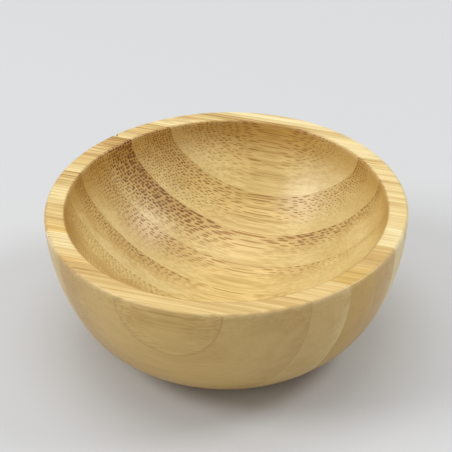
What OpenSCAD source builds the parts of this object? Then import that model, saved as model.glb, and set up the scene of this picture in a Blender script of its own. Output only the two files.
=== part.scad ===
// Shaving bowl, turned from a block of glued bamboo strips.
// Origin: centre of the flat underside, on the surface that the bowl stands on. +Z is up.
// The bamboo's fibres run along X. The strips lie side by side along Y and are glued face to face.
// Each strip is the turned bowl between the two glue planes that bound it.

/* [Bowl] */
// Diameter over the rim
bowl_d = 110; // [102:1:118]
// Height from the underside to the rim
bowl_h = 45; // [43:0.5:48]
// Width of the flat rim
rim_w = 6.2; // [5.5:0.1:8]

/* [Outside] */
// Radius of the flat underside
base_r = 23; // [20:0.5:25]
// Radius of the long curve down the side
side_r = 66; // [62:1:76]

/* [Hollow] */
// Depth at the middle
hollow_depth = 35.5; // [33:0.1:37]
// Radius of the tighter curve between the rim and the floor
wall_r = 17.5; // [12:0.5:28]

/* [Eased edges] */
// Rounding of the rim's outer edge
outer_ease = 1.0; // [0.4:0.1:1.5]
// Rounding of the rim's inner edge
inner_ease = 0.6; // [0.3:0.1:1.2]

/* [Hidden] */
NODES = [
    "strip_01", "strip_02", "strip_03", "strip_04", "strip_05", "strip_06",
    "strip_07", "strip_08", "strip_09", "strip_10", "strip_11"
];
$fn = 180;

rim_r = bowl_d / 2;
mouth_r = rim_r - rim_w;
// Half size of the blocks that cut outlines and solids, past the bowl on every side
reach = bowl_d;

// Glue planes along Y, from the front to the back, as shares of the rim's radius. The strips are
// about a fifth of that radius thick, and no two of them are quite alike.
plane_shares = [-0.955, -0.715, -0.52, -0.325, -0.135, 0.063, 0.282, 0.485, 0.68, 0.905];

// Furthest that the outline's straight pieces stray from its curves
chord_error = 0.03;

// Outside: the side's arc is upright at the rim and meets the heel's arc smoothly. The heel's arc
// meets the underside smoothly at base_r, which settles its radius.
side_x = rim_r - side_r;
side_span = rim_r - base_r;
heel_r = (2 * side_r * side_span - pow(side_span, 2) - pow(bowl_h, 2)) / (2 * (side_r - bowl_h));
heel_angle = atan2(heel_r - bowl_h, base_r - side_x);

// Hollow: the wall's arc is upright at the rim and meets the floor's arc smoothly. The floor's arc
// is centred on the bowl's axis, which settles its radius.
floor_z = bowl_h - hollow_depth;
floor_r = (pow(mouth_r, 2) - 2 * mouth_r * wall_r + pow(hollow_depth, 2)) / (2 * (hollow_depth - wall_r));
wall_x = mouth_r - wall_r;
wall_angle = -atan2(floor_r - hollow_depth, wall_x);

// Rim: each eased edge meets the rim's top and the arc beside it smoothly.
outer_angle = -asin(outer_ease / (side_r - outer_ease));
outer_x = side_x + (side_r - outer_ease) * cos(outer_angle);
inner_angle = -asin(inner_ease / (wall_r + inner_ease));
inner_x = wall_x + (wall_r + inner_ease) * cos(inner_angle);

// Shades of the bamboo, from the pale inner culm to the ripe outer culm
pale = [0.94, 0.84, 0.62];
honey = [0.89, 0.75, 0.48];
amber = [0.84, 0.67, 0.38];

// Bounds of a strip along Y, counted from the strip at the front. The first and the last strip have
// a glue plane on one side only.
function strip_front(number) = number == 1 ? -reach : plane_shares[number - 2] * rim_r;
function strip_back(number) = number == len(NODES) ? reach : plane_shares[number - 1] * rim_r;

// Points along an arc about [x, z]
function arc(x, z, radius, from, to) =
    let (steps = ceil(abs(to - from) / (2 * acos(1 - chord_error / radius))), step = (to - from) / steps)
    [for (i = [0:steps]) [x + radius * cos(from + i * step), z + radius * sin(from + i * step)]];

// Half section of the bowl, from the middle of the underside round the rim to the middle of the floor
module bowl_outline() {
    polygon(concat(
        [[0, 0]],
        arc(base_r, heel_r, heel_r, -90, heel_angle),
        arc(side_x, bowl_h, side_r, heel_angle, outer_angle),
        arc(outer_x, bowl_h - outer_ease, outer_ease, outer_angle, 90),
        arc(inner_x, bowl_h - inner_ease, inner_ease, 90, 180 + inner_angle),
        arc(wall_x, bowl_h, wall_r, inner_angle, wall_angle),
        arc(0, floor_z + floor_r, floor_r, wall_angle, -90)
    ));
}

// One strip: the finished bowl between two planes
module strip(number) {
    front = strip_front(number);
    intersection() {
        rotate_extrude() bowl_outline();
        translate([-reach, front, -reach]) cube([2 * reach, strip_back(number) - front, 2 * reach]);
    }
}

module strip_01() { color(pale) strip(1); }
module strip_02() { color(honey) strip(2); }
module strip_03() { color(pale) strip(3); }
module strip_04() { color(amber) strip(4); }
module strip_05() { color(pale) strip(5); }
module strip_06() { color(honey) strip(6); }
module strip_07() { color(amber) strip(7); }
module strip_08() { color(honey) strip(8); }
module strip_09() { color(pale) strip(9); }
module strip_10() { color(honey) strip(10); }
module strip_11() { color(pale) strip(11); }

strip_01();
strip_02();
strip_03();
strip_04();
strip_05();
strip_06();
strip_07();
strip_08();
strip_09();
strip_10();
strip_11();
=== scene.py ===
"""Shaving bowl turned from a block of glued bamboo strips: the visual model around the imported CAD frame.

Row frame: metres, +Z up, origin in the middle of the flat underside. The fibres run along X and the
strips lie side by side along Y, strip_01 in front. Lengths below are in millimetres unless a name or
a comment says otherwise.
"""
from collections import namedtuple
from math import asin, atan2, ceil, cos, hypot, pi, radians, sin
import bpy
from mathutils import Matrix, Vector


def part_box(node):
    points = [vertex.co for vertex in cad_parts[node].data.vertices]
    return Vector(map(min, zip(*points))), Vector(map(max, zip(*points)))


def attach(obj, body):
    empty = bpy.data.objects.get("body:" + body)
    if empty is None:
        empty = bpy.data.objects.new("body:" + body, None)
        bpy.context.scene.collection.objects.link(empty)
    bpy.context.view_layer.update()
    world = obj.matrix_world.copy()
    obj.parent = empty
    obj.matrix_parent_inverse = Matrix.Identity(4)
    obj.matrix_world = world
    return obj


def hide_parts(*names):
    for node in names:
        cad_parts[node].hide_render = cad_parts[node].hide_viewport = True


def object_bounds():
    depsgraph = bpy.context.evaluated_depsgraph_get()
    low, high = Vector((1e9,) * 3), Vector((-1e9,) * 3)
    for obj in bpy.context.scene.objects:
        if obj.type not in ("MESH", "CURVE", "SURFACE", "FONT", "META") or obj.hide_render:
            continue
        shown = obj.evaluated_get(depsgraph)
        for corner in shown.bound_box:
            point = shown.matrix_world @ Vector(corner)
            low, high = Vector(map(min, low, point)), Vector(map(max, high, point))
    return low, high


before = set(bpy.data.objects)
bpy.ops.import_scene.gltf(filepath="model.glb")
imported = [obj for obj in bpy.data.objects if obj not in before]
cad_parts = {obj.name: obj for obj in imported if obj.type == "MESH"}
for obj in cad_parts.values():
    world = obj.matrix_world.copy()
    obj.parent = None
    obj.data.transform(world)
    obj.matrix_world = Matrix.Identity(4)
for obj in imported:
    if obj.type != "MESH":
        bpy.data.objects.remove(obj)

from types import SimpleNamespace

import bmesh
import bpy
from mathutils import Matrix, Vector, noise

cad_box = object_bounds()
MM = 0.001

# ---------------------------------------------------------------- sizes, as in the CAD part
STRIPS = sorted(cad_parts)
RIM_R = round(cad_box[1].x / MM, 1)
HEIGHT = round(cad_box[1].z / MM, 1)
RIM_W = 6.2
BASE_R = 23.0
SIDE_R = 66.0
HOLLOW_DEPTH = 35.5
WALL_R = 17.5
OUTER_EASE = 1.0
INNER_EASE = 0.6

MOUTH_R = RIM_R - RIM_W
SIDE_SPAN = RIM_R - BASE_R
HEEL_R = (2 * SIDE_R * SIDE_SPAN - SIDE_SPAN**2 - HEIGHT**2) / (2 * (SIDE_R - HEIGHT))
FLOOR_Z = HEIGHT - HOLLOW_DEPTH
FLOOR_R = (MOUTH_R**2 - 2 * MOUTH_R * WALL_R + HOLLOW_DEPTH**2) / (2 * (HOLLOW_DEPTH - WALL_R))

# ---------------------------------------------------------------- mesh resolution and wear
TURN_STEPS = 288          # steps round the bowl
CURVE_STEP = 1.2          # length of the outline's pieces
EDGE_STEP = 0.15          # length of the outline's pieces on the eased edges
FINE_STEPS = 8            # parts that a step is split into beside the chip
FINE_REACH = radians(2.2)  # half of the stretch that is split, as an angle round the bowl
UNEVEN = 0.05             # how far the sanded surface wanders from true
UNEVEN_SCALE = 0.045      # waves of that wander per millimetre
UNEVEN_RISE = 4.0         # height at which the wander is full; the flat underside has none
CUT_TOLERANCE = 1e-8      # metres within which a corner counts as on the cutting plane
CHIP = Vector((-47.1, 28.0, HEIGHT))           # the nick in the rim's outer edge
CHIP_REACH = Vector((1.5, 0.8, 1.5))
CHIP_DEPTH = 0.75
CHIP_SINK = 0.8           # how far the surface sinks in the chip, for each millimetre it goes inward
CHIP_RAGGED = 0.35        # how far its outline wanders, as a share of its reach
CHIP_RAGGED_SCALE = 1.7   # waves of that wander per millimetre


def arc(x, z, radius, start, end, step=CURVE_STEP):
    """Points along an arc about (x, z), from one angle to another, both in radians."""
    count = max(2, ceil(abs(end - start) * radius / step))
    angles = [start + (end - start) * i / count for i in range(count + 1)]
    return [(x + radius * cos(a), z + radius * sin(a)) for a in angles]


def straight(x0, z0, x1, z1, step=CURVE_STEP):
    """Points along a straight line."""
    count = max(1, ceil(hypot(x1 - x0, z1 - z0) / step))
    return [(x0 + (x1 - x0) * i / count, z0 + (z1 - z0) * i / count) for i in range(count + 1)]


def bowl_outline():
    """Half section, from the middle of the underside round the rim to the middle of the floor."""
    side_x = RIM_R - SIDE_R
    heel_angle = atan2(HEEL_R - HEIGHT, BASE_R - side_x)
    wall_x = MOUTH_R - WALL_R
    wall_angle = -atan2(FLOOR_R - HOLLOW_DEPTH, wall_x)
    outer_angle = -asin(OUTER_EASE / (SIDE_R - OUTER_EASE))
    outer_x = side_x + (SIDE_R - OUTER_EASE) * cos(outer_angle)
    inner_angle = -asin(INNER_EASE / (WALL_R + INNER_EASE))
    inner_x = wall_x + (WALL_R + INNER_EASE) * cos(inner_angle)
    stretches = [
        straight(0, 0, BASE_R, 0),
        arc(BASE_R, HEEL_R, HEEL_R, -pi / 2, heel_angle),
        arc(side_x, HEIGHT, SIDE_R, heel_angle, outer_angle),
        arc(outer_x, HEIGHT - OUTER_EASE, OUTER_EASE, outer_angle, pi / 2, EDGE_STEP),
        straight(outer_x, HEIGHT, inner_x, HEIGHT),
        arc(inner_x, HEIGHT - INNER_EASE, INNER_EASE, pi / 2, pi + inner_angle, EDGE_STEP),
        arc(wall_x, HEIGHT, WALL_R, inner_angle, wall_angle),
        arc(0, FLOOR_Z + FLOOR_R, FLOOR_R, wall_angle, -pi / 2),
    ]
    points = [stretches[0][0]]
    for stretch in stretches:
        points += stretch[1:]
    return points


def turn_angles():
    """Angles of the steps round the bowl, finer beside the chip."""
    chip_angle = atan2(CHIP.y, CHIP.x) % (2 * pi)
    step = 2 * pi / TURN_STEPS
    angles = []
    for i in range(TURN_STEPS):
        near = abs((i + 0.5) * step - chip_angle) < FINE_REACH
        parts = FINE_STEPS if near else 1
        angles += [(i + k / parts) * step for k in range(parts)]
    return angles


def worn(r, angle, z):
    """A point of the turned surface, with the sander's slight unevenness and the chip."""
    point = Vector((r * cos(angle), r * sin(angle), z))
    outward = Vector((cos(angle), sin(angle), 0))
    rise = min(1, z / UNEVEN_RISE)
    point += outward * noise.noise(point * UNEVEN_SCALE) * UNEVEN * rise
    away = point - CHIP
    gap = Vector((away.x / CHIP_REACH.x, away.y / CHIP_REACH.y, away.z / CHIP_REACH.z)).length
    gap += CHIP_RAGGED * noise.noise(point * CHIP_RAGGED_SCALE)
    if gap < 1:
        point -= (outward + Vector((0, 0, CHIP_SINK))).normalized() * CHIP_DEPTH * (1 - gap**2)
    return point * MM


def turned_bowl():
    """The whole bowl as one closed surface of revolution, in metres."""
    bm = bmesh.new()
    outline = bowl_outline()
    poles = [bm.verts.new((0, 0, outline[0][1] * MM)), bm.verts.new((0, 0, outline[-1][1] * MM))]
    turn = turn_angles()
    rings = [[bm.verts.new(worn(r, a, z)) for a in turn] for r, z in outline[1:-1]]
    for i in range(len(turn)):
        j = (i + 1) % len(turn)
        bm.faces.new((poles[0], rings[0][j], rings[0][i]))
        bm.faces.new((poles[1], rings[-1][i], rings[-1][j]))
        for low, high in zip(rings, rings[1:]):
            bm.faces.new((low[i], low[j], high[j], high[i]))
    bmesh.ops.recalc_face_normals(bm, faces=bm.faces)
    return bm


def cut_flat(bm, y, keep_above):
    """Cuts the solid with the glue plane at y (metres) and closes it there with a flat face."""
    side = 1 if keep_above else -1
    cut = bmesh.ops.bisect_plane(
        bm, geom=bm.verts[:] + bm.edges[:] + bm.faces[:], dist=CUT_TOLERANCE,
        plane_co=(0, y, 0), plane_no=(0, -side, 0), clear_outer=True)
    edges = [e for e in cut["geom_cut"] if isinstance(e, bmesh.types.BMEdge)]
    cap = bmesh.ops.triangle_fill(bm, edges=edges, use_beauty=True)
    for item in cap["geom"]:
        if isinstance(item, bmesh.types.BMFace):
            item.smooth = False
    for edge in edges:
        edge.smooth = False


def cut_strip(whole, name):
    """One strip as an object that stands for its CAD node."""
    low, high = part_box(name)
    bm = whole.copy()
    for face in bm.faces:
        face.smooth = True
    if name != STRIPS[0]:
        cut_flat(bm, low.y, True)
    if name != STRIPS[-1]:
        cut_flat(bm, high.y, False)
    bmesh.ops.recalc_face_normals(bm, faces=bm.faces)
    mesh = bpy.data.meshes.new(name + "_turned")
    bm.to_mesh(mesh)
    bm.free()
    piece = bpy.data.objects.new(name + "_turned", mesh)
    bpy.context.collection.objects.link(piece)
    return piece


# ---------------------------------------------------------------- bamboo
MIX_A = 6                 # the places of a Mix node's colour sockets
MIX_B = 7
MIX_RESULT = 2


class Graph:
    """Short calls that add nodes to one material."""

    def __init__(self, material):
        material.use_nodes = True
        self.tree = material.node_tree
        self.shader = self.tree.nodes["Principled BSDF"]

    def node(self, kind, **settings):
        node = self.tree.nodes.new(kind)
        for name, value in settings.items():
            setattr(node, name, value)
        return node

    def put(self, socket, value):
        """Gives a socket a link where the value is another socket, or else its number."""
        if isinstance(value, bpy.types.NodeSocket):
            self.tree.links.new(value, socket)
        else:
            socket.default_value = value

    def fill(self, node, values):
        """Gives a node's sockets these values, from the first on."""
        for socket, value in zip(node.inputs, values):
            self.put(socket, value)

    def math(self, operation, a, b=0.0, c=0.0):
        node = self.node("ShaderNodeMath", operation=operation)
        self.fill(node, (a, b, c))
        return node.outputs[0]

    def vector(self, operation, a, b):
        node = self.node("ShaderNodeVectorMath", operation=operation)
        self.fill(node, (a, b))
        return node

    def split(self, vector):
        node = self.node("ShaderNodeSeparateXYZ")
        self.fill(node, (vector,))
        return node.outputs

    def join(self, x, y, z):
        node = self.node("ShaderNodeCombineXYZ")
        self.fill(node, (x, y, z))
        return node.outputs[0]

    def smooth(self, value, low, high, to_low=0.0, to_high=1.0):
        """Runs smoothly from to_low to to_high as the value goes from low to high."""
        node = self.node("ShaderNodeMapRange", interpolation_type="SMOOTHSTEP")
        self.fill(node, (value, low, high, to_low, to_high))
        return node.outputs[0]

    def linear(self, value, low, high, to_low=0.0, to_high=1.0):
        """The same in a straight line."""
        node = self.node("ShaderNodeMapRange", interpolation_type="LINEAR", clamp=True)
        self.fill(node, (value, low, high, to_low, to_high))
        return node.outputs[0]

    def blend(self, kind, amount, a, b):
        node = self.node("ShaderNodeMix", data_type="RGBA", blend_type=kind)
        self.put(node.inputs["Factor"], amount)
        self.put(node.inputs[MIX_A], a)
        self.put(node.inputs[MIX_B], b)
        return node.outputs[MIX_RESULT]

    def mix(self, amount, a, b):
        """Mixes two colours."""
        return self.blend("MIX", amount, a, b)

    def tint(self, amount, colour, by):
        """Multiplies a colour by another, by that amount."""
        return self.blend("MULTIPLY", amount, colour, by)

    def noise(self, place, scale, detail):
        """Noise with its own scale along X, Y and Z, per millimetre."""
        node = self.node("ShaderNodeTexNoise")
        self.put(node.inputs["Vector"], self.vector("MULTIPLY", place, scale).outputs["Vector"])
        node.inputs["Scale"].default_value = 1.0
        node.inputs["Detail"].default_value = detail
        return node.outputs

    def wander(self, place, scale, detail):
        """Three noises from about -MIDDLE to MIDDLE."""
        colour = self.noise(place, scale, detail)["Color"]
        return self.split(self.vector("SUBTRACT", colour, (MIDDLE,) * 3).outputs["Vector"])

    def cells(self, across, up, spacing):
        """Distance to the nearest bundle, in spacings, and that bundle's own random numbers."""
        node = self.node("ShaderNodeTexVoronoi", voronoi_dimensions="2D", feature="F1")
        place = self.join(self.math("DIVIDE", across, spacing[0]), self.math("DIVIDE", up, spacing[1]), 0.0)
        self.put(node.inputs["Vector"], place)
        node.inputs["Scale"].default_value = 1.0
        node.inputs["Randomness"].default_value = SCATTER
        return node.outputs["Distance"], self.split(node.outputs["Color"])


# The wood's colours, as linear red, green, blue and alpha.
CREAM = (0.87, 0.71, 0.37, 1)
STRAW = (0.80, 0.62, 0.285, 1)
HONEY = (0.71, 0.505, 0.20, 1)
TAN = (0.63, 0.42, 0.15, 1)
RUSSET = (0.64, 0.42, 0.12, 1)
AMBER = (0.67, 0.41, 0.10, 1)        # the streaks

# How one strip looks. front and rear are its colours on its two sides; dots is how dark its bundles
# of fibre are, start is where they set in, as a share of the strip, spacing their distance along Y
# and Z, and size their radius, in spacings; streak is how strong the amber streaks are.
Look = namedtuple("Look", "front rear dots start spacing size streak")
FINE = (0.70, 0.84)
BROAD = (0.84, 1.02)
LOOKS = {
    "strip_01": Look(HONEY, HONEY, 0.4, 0.2, FINE, 0.28, 0.2),
    "strip_02": Look(HONEY, TAN, 0.5, 0.3, FINE, 0.28, 0.3),
    "strip_03": Look(HONEY, CREAM, 0.6, 0.3, FINE, 0.30, 0.4),
    "strip_04": Look(RUSSET, HONEY, 0.6, 0.35, FINE, 0.30, 0.9),
    "strip_05": Look(TAN, STRAW, 0.7, 0.3, FINE, 0.32, 0.3),
    "strip_06": Look(CREAM, HONEY, 0.95, 0.45, FINE, 0.36, 0.4),
    "strip_07": Look(STRAW, HONEY, 0.8, 0.3, BROAD, 0.34, 0.4),
    "strip_08": Look(STRAW, TAN, 1.0, 0.08, BROAD, 0.47, 0.7),
    "strip_09": Look(STRAW, HONEY, 0.95, -0.15, FINE, 0.34, 0.6),
    "strip_10": Look(CREAM, HONEY, 0.85, -0.05, FINE, 0.32, 0.6),
    "strip_11": Look(CREAM, STRAW, 0.6, 0.0, FINE, 0.29, 0.3),
}

# What the wood's colour is multiplied by.
BELOW_RIM_TONE_AND_SHADE = (0.91, 0.865, 0.70, 1)   # everywhere but on the rim: partly because the sanded rim is paler wood, partly painted shade that leaves a painted sheen on the upward-facing rim
HOLLOW_TOP_SHADE = (0.76, 0.64, 0.46, 1)   # painted shade in the hollow, just under the rim, where the steep wall gets little light
END_GRAIN = (0.97, 0.99, 1.09, 1)    # where the fibres end
SMUDGE = (0.81, 0.72, 0.57, 1)       # in the dull patches on the outside
DOT = (0.35, 0.18, 0.02, 1)          # at a bundle that ends there
DASH = (0.56, 0.38, 0.13, 1)         # at a bundle the cut runs along
GLUE = (0.55, 0.42, 0.28, 1)         # on a glue line
NICK = (0.35, 0.22, 0.12, 1)         # in the chip

# Scales of the noises along X, Y and Z, per mm, and how many finer layers each one has.
BEND_SCALE = (0.010, 0.05, 0.05)
TWIST_SCALE = (0.03, 0.4, 0.4)
BROAD_SCALE = (0.008, 0.45, 0.30)
NARROW_SCALE = (0.022, 1.3, 1.1)
FIBRE_SCALE = (0.10, 7.0, 7.0)
MOTTLE_SCALE = (0.05, 0.12, 0.12)
BEND_DETAIL = 1
TWIST_DETAIL = 1
BROAD_DETAIL = 3
NARROW_DETAIL = 3
FIBRE_DETAIL = 2
MOTTLE_DETAIL = 3
MIDDLE = 0.5                         # what every noise is spread around

# How far the bundles wander, in mm.
BEND_ACROSS = 3.5
BEND_UP = 5.0
TWIST = 0.8

# The wood's tone.
DRIFT = 0.5                          # how much the bend moves it, in strips
TONE_SLANT = 0.36                    # how much it falls, in strips, per RIM_R along the fibres
UNRULY = 1.1                         # how much the broad streaks move it, in strips
RIPE_RANGE = (0.25, 1.05)            # the tones between which front turns into rear
FLAT_STEP = 0.3                      # how much of that shows in the hollow along the fibres
AMBER_SHARE = 0.6                    # how much each of two noises has of the amber streaks
AMBER_RANGE = (0.66, 0.82)           # the sums of the two between which a streak sets in
CRISP_RANGE = (0.36, 0.64)           # the part of the narrow noise that shows as streaks
BROAD_SHADE = 0.75                   # how strong the broad noise is as streaks
STREAK_ALONG = 0.28                  # how strong the narrow one is along the fibres
STREAK_END = 0.12                    # and on end grain
STREAK_BELOW = 0.35                  # what is left of all of them on the rubbed outside
FIBRE_SHADE = 0.2                    # how much the finest noise lightens the wood
FIBRE_BASE = 0.9                     # how light it is without
MOTTLE_RANGE = (0.3, 0.7)            # the part of the mottle that shows as cloudy shades
MOTTLE_SHADE = (0.90, 1.07)          # the darkest and the lightest of them
SMUDGE_RANGE = (0.42, 0.68)          # the part of the mottle that shows as dull patches
SMUDGE_SHARE = 0.65                  # how strong they are
GOLDEN = (0.75, 1.0, 1.6)            # the powers that turn a darker streak golden

# The bundles of fibre.
SLANT = 0.48                         # how much later they set in, per RIM_R along the fibres
ONSET_BEND = 0.6                     # how much the bend moves that
ONSET = 0.75                         # how many strips they take to set in
RARE = 0.08                          # how dark the first ones are
SCATTER = 0.5                        # 0 sets them in even rows and 1 anywhere
SWELL_RANGE = (-0.2, 1.3)            # how they grow through the strip
SWELL = (0.65, 1.12)                 # from this share of their size to this one
RADIUS = (0.7, 1.1)                  # how they differ
CORE = 0.7                           # the share of the radius that is fully dark
DARKNESS = (0.75, 1.0)               # the faintest and the darkest

# Glue lines, chip and surface.
LINE_WIDTH = 0.18                    # mm from the plane at which a glue line ends
LINE_CORE = 0.03                     # mm from the plane within which it is full
REAR_LINE = 0.38                     # how dark it is on the front one of the two strips
FRONT_LINE = 0.2                     # and on the rear one
LINE_RANGE = (0.3, 0.6)              # the part of the broad noise over which they fade
LINE_FADE = (0.25, 1.0)              # how strong the lines are there
NICK_RANGE = (1.3, 0.6)              # mm from the middle of the chip
RIM_RANGE = (HEIGHT - 2.0, HEIGHT - 0.6)
# the heights between which the painted shade under the rim grows from none to full
HOLLOW_SHADE_RANGE = (HEIGHT - 16.0, HEIGHT - 2.0)
FACING_RANGE = (0.0, 15.0)           # mm towards the axis or away from it
END_RANGE = (0.05, 0.55)             # the slope along X at which the cut turns into end grain
UNDER_RANGE = (-0.15, 0.0)           # the upward slope over which the streaks fade on the outside
GLOSS = 0.26                         # roughness of the smoothest wood
GLOSS_STREAK = 0.14                  # how much rougher the narrow noise makes it
GLOSS_DOT = 0.15                     # and a bundle of fibre
BUMP = 0.7                           # how strongly the relief shows
BUMP_STREAK = 0.012                  # mm that the narrow noise rises
BUMP_FIBRE = 0.005                   # and the finest one
BUMP_DOT = -0.015                    # and a bundle, which is sunk
SEED_STEP = 37.0                     # how far apart the strips' noises are taken from


def cut_point(graph, name, front, back):
    """What is known of a point on the cut surface: its place, which way it faces and the grain there."""
    coordinates = graph.node("ShaderNodeTexCoord")
    place = graph.vector("MULTIPLY", coordinates.outputs["Object"], (1 / MM,) * 3).outputs["Vector"]
    x, y, z = graph.split(place)
    normal = graph.split(coordinates.outputs["Normal"])
    outward = graph.math("MULTIPLY_ADD", x, normal[0], graph.math("MULTIPLY", y, normal[1]))
    seed = SEED_STEP * (1 + STRIPS.index(name))
    own = graph.vector("ADD", place, (seed, 2 * seed, 3 * seed)).outputs["Vector"]
    seeded = graph.split(own)
    bend = graph.wander(own, BEND_SCALE, BEND_DETAIL)
    twist = graph.wander(own, TWIST_SCALE, TWIST_DETAIL)
    bent_across = graph.math("MULTIPLY_ADD", bend[0], BEND_ACROSS, seeded[1])
    bent_up = graph.math("MULTIPLY_ADD", bend[1], BEND_UP, seeded[2])
    across = graph.math("MULTIPLY_ADD", twist[0], TWIST, bent_across)
    up = graph.math("MULTIPLY_ADD", twist[1], TWIST, bent_up)
    return SimpleNamespace(
        place=place, x=x, y=y, z=z,
        end_grain=graph.smooth(graph.math("ABSOLUTE", normal[0]), *END_RANGE),
        on_rim=graph.smooth(z, *RIM_RANGE),
        inside=graph.smooth(graph.math("MULTIPLY", outward, -1.0), *FACING_RANGE),
        outside=graph.smooth(outward, *FACING_RANGE),
        rubbed=graph.smooth(normal[2], *UNDER_RANGE, STREAK_BELOW, 1.0),
        depth=graph.linear(y, front, back), bend=bend, across=across, up=up,
        broad=graph.noise(own, BROAD_SCALE, BROAD_DETAIL)["Fac"],
        narrow=graph.noise(own, NARROW_SCALE, NARROW_DETAIL)["Fac"],
        fibre=graph.noise(own, FIBRE_SCALE, FIBRE_DETAIL)["Fac"],
        mottle=graph.noise(own, MOTTLE_SCALE, MOTTLE_DETAIL)["Fac"])


def wood_tone(graph, at, look):
    """The strip's colour, from front to rear, with the amber streaks."""
    drift = graph.math("MULTIPLY_ADD", at.bend[2], DRIFT, at.depth)
    drift = graph.math("MULTIPLY_ADD", at.x, -TONE_SLANT / RIM_R, drift)
    tone = graph.math("MULTIPLY_ADD", graph.math("SUBTRACT", at.broad, MIDDLE), UNRULY, drift)
    colour = graph.mix(graph.smooth(tone, *RIPE_RANGE), look.front, look.rear)
    shown = graph.math("MAXIMUM", graph.math("MAXIMUM", at.end_grain, at.on_rim), at.outside)
    colour = graph.mix(graph.linear(shown, 0.0, 1.0, FLAT_STEP, 1.0), STRAW, colour)
    both = graph.math("MULTIPLY", graph.math("ADD", at.narrow, at.broad), AMBER_SHARE)
    amber = graph.smooth(both, *AMBER_RANGE)
    return graph.mix(graph.math("MULTIPLY", amber, look.streak), colour, AMBER)


def grain_shade(graph, at):
    """How bright the grain's streaks make the wood, around 1."""
    crisp = graph.math("SUBTRACT", graph.smooth(at.narrow, *CRISP_RANGE), MIDDLE)
    strength = graph.linear(at.end_grain, 0.0, 1.0, STREAK_ALONG, STREAK_END)
    strength = graph.math("MULTIPLY", at.rubbed, strength)
    plain = graph.math("MULTIPLY_ADD", at.fibre, FIBRE_SHADE, FIBRE_BASE)
    broad_shade = graph.math("MULTIPLY", at.rubbed, BROAD_SHADE)
    bands = graph.math("MULTIPLY", graph.math("SUBTRACT", at.broad, MIDDLE), broad_shade)
    bands = graph.math("MULTIPLY_ADD", bands, graph.math("SUBTRACT", 1.0, at.end_grain), plain)
    streaks = graph.math("MULTIPLY_ADD", crisp, strength, bands)
    return graph.math("MULTIPLY", streaks, graph.linear(at.mottle, *MOTTLE_RANGE, *MOTTLE_SHADE))


def bare_wood(graph, at, look):
    """The wood's colour without its bundles of fibre, with painted shade under the rim in the hollow and a
    painted sheen kept on the rim.
    """
    shade = grain_shade(graph, at)
    golden = graph.join(*(graph.math("POWER", shade, power) for power in GOLDEN))
    colour = graph.tint(1.0, wood_tone(graph, at, look), golden)
    # darker and yellower below the rim: partly the sanded rim's paler wood, partly painted shade that leaves
    # a painted sheen on the rim
    colour = graph.tint(graph.math("SUBTRACT", 1.0, at.on_rim), colour, BELOW_RIM_TONE_AND_SHADE)
    colour = graph.tint(at.end_grain, colour, END_GRAIN)
    # painted shade on the hollow's wall just under the rim
    colour = graph.tint(graph.math("MULTIPLY", at.inside, graph.smooth(at.z, *HOLLOW_SHADE_RANGE)), colour, HOLLOW_TOP_SHADE)
    dull = graph.smooth(at.mottle, *SMUDGE_RANGE, 0.0, SMUDGE_SHARE)
    return graph.tint(graph.math("MULTIPLY", at.outside, dull), colour, SMUDGE)


def bundles(graph, at, look):
    """Where the bundles are, and how dark they show: dots on end grain, dashes where cut along."""
    distance, own_cell = graph.cells(at.across, at.up, look.spacing)
    ripeness = graph.math("MULTIPLY_ADD", at.bend[1], ONSET_BEND, at.depth)
    ripeness = graph.math("MULTIPLY_ADD", at.x, -SLANT / RIM_R, ripeness)
    swell = graph.linear(ripeness, *SWELL_RANGE, *SWELL)
    smallest, largest = (share * look.size for share in RADIUS)
    radius = graph.math("MULTIPLY", graph.linear(own_cell[0], 0.0, 1.0, smallest, largest), swell)
    dot = graph.smooth(distance, radius, graph.math("MULTIPLY", radius, CORE))
    crowd = graph.smooth(ripeness, look.start, look.start + ONSET, RARE, 1.0)
    darkness = graph.linear(own_cell[1], 0.0, 1.0, *DARKNESS)
    dark = graph.math("MULTIPLY", graph.math("MULTIPLY", dot, crowd), darkness)
    return dot, graph.math("MULTIPLY", dark, look.dots)


def glue_and_chip(graph, at, colour, front, back):
    """Darkens the glue lines at the strip's two planes, and the wood in the chip."""
    rear_line = graph.smooth(at.y, back - LINE_WIDTH, back - LINE_CORE, 0.0, REAR_LINE)
    front_line = graph.smooth(at.y, front + LINE_WIDTH, front + LINE_CORE, 0.0, FRONT_LINE)
    fade = graph.linear(at.broad, *LINE_RANGE, *LINE_FADE)
    line = graph.math("MULTIPLY", graph.math("MAXIMUM", rear_line, front_line), fade)
    colour = graph.tint(line, colour, GLUE)
    away = graph.vector("DISTANCE", at.place, CHIP).outputs["Value"]
    return graph.tint(graph.smooth(away, *NICK_RANGE), colour, NICK)


def satin(graph, at, dot, dark):
    """Gives the shader its gloss and its fine relief."""
    gloss = graph.math("MULTIPLY_ADD", dark, GLOSS_DOT, GLOSS)
    graph.put(graph.shader.inputs["Roughness"], graph.math("MULTIPLY_ADD", at.narrow, GLOSS_STREAK, gloss))
    relief = graph.math("MULTIPLY_ADD", at.fibre, BUMP_FIBRE, graph.math("MULTIPLY", dot, BUMP_DOT))
    bump = graph.node("ShaderNodeBump")
    bump.inputs["Strength"].default_value = BUMP
    bump.inputs["Distance"].default_value = MM
    graph.put(bump.inputs["Height"], graph.math("MULTIPLY_ADD", at.narrow, BUMP_STREAK, relief))
    graph.put(graph.shader.inputs["Normal"], bump.outputs["Normal"])


def bamboo(name, look, front, back):
    """Solid bamboo, cut from a block whose fibres run along X, between the planes y = front and back."""
    material = bpy.data.materials.new(name)
    graph = Graph(material)
    at = cut_point(graph, name, front, back)
    dot, dark = bundles(graph, at, look)
    colour = graph.tint(dark, bare_wood(graph, at, look), graph.mix(at.end_grain, DASH, DOT))
    graph.put(graph.shader.inputs["Base Color"], glue_and_chip(graph, at, colour, front, back))
    satin(graph, at, dot, dark)
    return material


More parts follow.
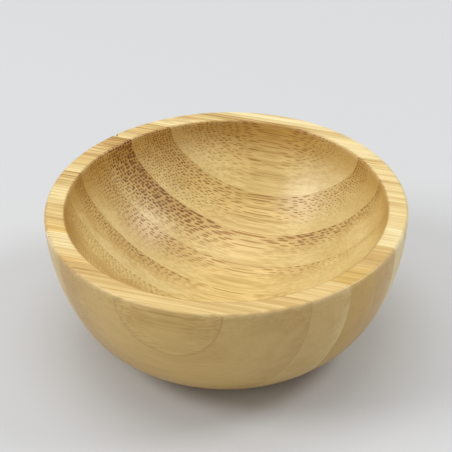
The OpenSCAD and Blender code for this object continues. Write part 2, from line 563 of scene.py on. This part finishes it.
whole = turned_bowl()
for name in STRIPS:
    piece = cut_strip(whole, name)
    low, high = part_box(name)
    piece.data.materials.append(bamboo(name, LOOKS[name], low.y / MM, high.y / MM))
    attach(piece, "root")
    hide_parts(name)
whole.free()


# ---------------------------------------------------------------- floor, lights and camera
FLOOR_HALF = 3.0          # metres
FLOOR_COLOUR = (0.63, 0.638, 0.65, 1)
FLOOR_ROUGHNESS = 0.6
WHITE = (1, 1, 1, 1)
WORLD_STRENGTH = 0.47
LIGHT_DISTANCE = 1.2      # metres from the origin

# The round soft lights, which all face the origin. Azimuth 0 is in front, on -Y, and 90 is on +X;
# the angles are in degrees, the size in metres and the power in watts.
Light = namedtuple("Light", "name azimuth elevation size watts")
LIGHTS = [
    Light("window_behind", 243, 60, 0.8, 1.3),
    Light("window_beside", 299, 42, 0.5, 5.2),
    Light("window_right", 117, 45, 0.42, 3.9),
    Light("ceiling", 200, 85, 0.8, 3.3),
]

# The camera, fitted to the photo.
VIEW_TURN = radians(18.9)       # how far it is turned about Z from looking along +Y
VIEW_TILT = radians(34.54)      # how far it looks down
VIEW_ROLL = radians(-1.05)      # how far it is rolled about its own line of sight
VIEW_PLACE = Vector((143.1, -418.4, 341.4))
VIEW_LENS = 140.1
SENSOR_WIDTH = 36


def floor():
    """The plain pale floor that the bowl stands on."""
    mesh = bpy.data.meshes.new("floor")
    h = FLOOR_HALF
    mesh.from_pydata([(-h, -h, 0), (h, -h, 0), (h, h, 0), (-h, h, 0)], [], [(0, 1, 2, 3)])
    obj = bpy.data.objects.new("floor", mesh)
    bpy.context.collection.objects.link(obj)
    material = bpy.data.materials.new("floor")
    material.use_nodes = True
    shader = material.node_tree.nodes["Principled BSDF"]
    shader.inputs["Base Color"].default_value = FLOOR_COLOUR
    shader.inputs["Roughness"].default_value = FLOOR_ROUGHNESS
    mesh.materials.append(material)


def area_light(spec):
    """One of the lights, turned to face the origin."""
    light = bpy.data.lights.new(spec.name, "AREA")
    light.shape = "DISK"
    light.size = spec.size
    light.energy = spec.watts
    obj = bpy.data.objects.new(spec.name, light)
    bpy.context.collection.objects.link(obj)
    azimuth = radians(spec.azimuth)
    elevation = radians(spec.elevation)
    level = cos(elevation)
    place = Vector((sin(azimuth) * level, -cos(azimuth) * level, sin(elevation))) * LIGHT_DISTANCE
    obj.location = place
    obj.rotation_euler = place.to_track_quat("Z", "Y").to_euler()


def room():
    """The even light from all round."""
    world = bpy.data.worlds.new("room")
    bpy.context.scene.world = world
    world.use_nodes = True
    background = world.node_tree.nodes["Background"]
    background.inputs["Color"].default_value = WHITE
    background.inputs["Strength"].default_value = WORLD_STRENGTH


def photo_camera():
    """The camera that sees the bowl as the photo does."""
    camera = bpy.data.objects.new("camera", bpy.data.cameras.new("camera"))
    bpy.context.collection.objects.link(camera)
    camera.data.lens = VIEW_LENS
    camera.data.sensor_width = SENSOR_WIDTH
    camera.matrix_world = (
        Matrix.Translation(VIEW_PLACE * MM)
        @ Matrix.Rotation(VIEW_TURN, 4, "Z")
        @ Matrix.Rotation(pi / 2 - VIEW_TILT, 4, "X")
        @ Matrix.Rotation(VIEW_ROLL, 4, "Z"))
    bpy.context.scene.camera = camera


floor()
for light_spec in LIGHTS:
    area_light(light_spec)
room()
photo_camera()
bpy.context.scene.view_settings.view_transform = "Standard"
